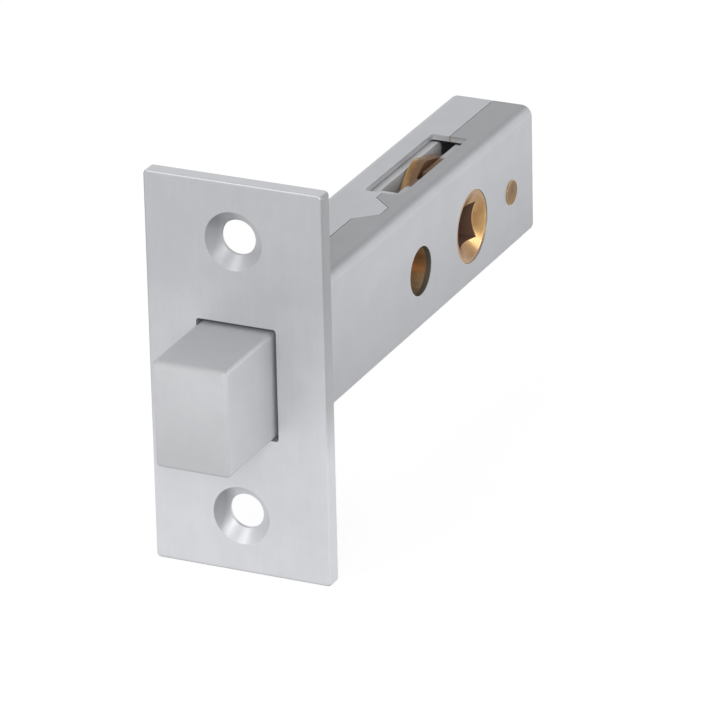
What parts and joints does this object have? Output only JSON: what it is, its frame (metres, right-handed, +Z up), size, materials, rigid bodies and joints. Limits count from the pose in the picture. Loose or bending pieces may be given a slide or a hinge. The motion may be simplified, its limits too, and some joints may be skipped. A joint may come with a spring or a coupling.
{
  "type": "privacy latch",
  "caption": "Mortice privacy latch: a square-ended bolt on a screwed faceplate, worked by a square spindle through a brass follower in a slim folded case.",
  "frame": {"origin": "centre of the faceplate's front face, which lies flush with the edge of the door", "axes": "+Y into the door along the case, +Z up along the faceplate, +X to the right side of the case"},
  "size_m": [0.025, 0.0941, 0.054],
  "materials": {
    "satin_steel": "satin chrome plate on steel",
    "brass": "plain turned brass",
    "bright_steel": "ground steel pin",
    "spring_steel": "drawn spring wire"
  },
  "bodies": {
    "frame": {"faceplate": "satin_steel", "case": "satin_steel", "post_bush": "brass", "rear_pillar": "brass", "hairpin_spring": "spring_steel"},
    "bolt": {"bolt": "satin_steel"},
    "follower": {"follower": "brass", "drive_pin": "bright_steel"}
  },
  "joints": [
    {"name": "follower_turn", "type": "hinge", "parent": "frame", "child": "follower", "pos_m": [0, 0.06, -0.0007], "axis": [-1, 0, 0], "range_deg": [0, 90], "deforming": ["hairpin_spring"]},
    {"name": "bolt_slide", "type": "slide", "parent": "frame", "child": "bolt", "axis": [0, 1, 0], "range_m": [0, 0.01245]}
  ],
  "couplings": [
    {"joint": "follower_turn", "follows": "bolt_slide", "rad_per_m": 126.22}
  ]
}
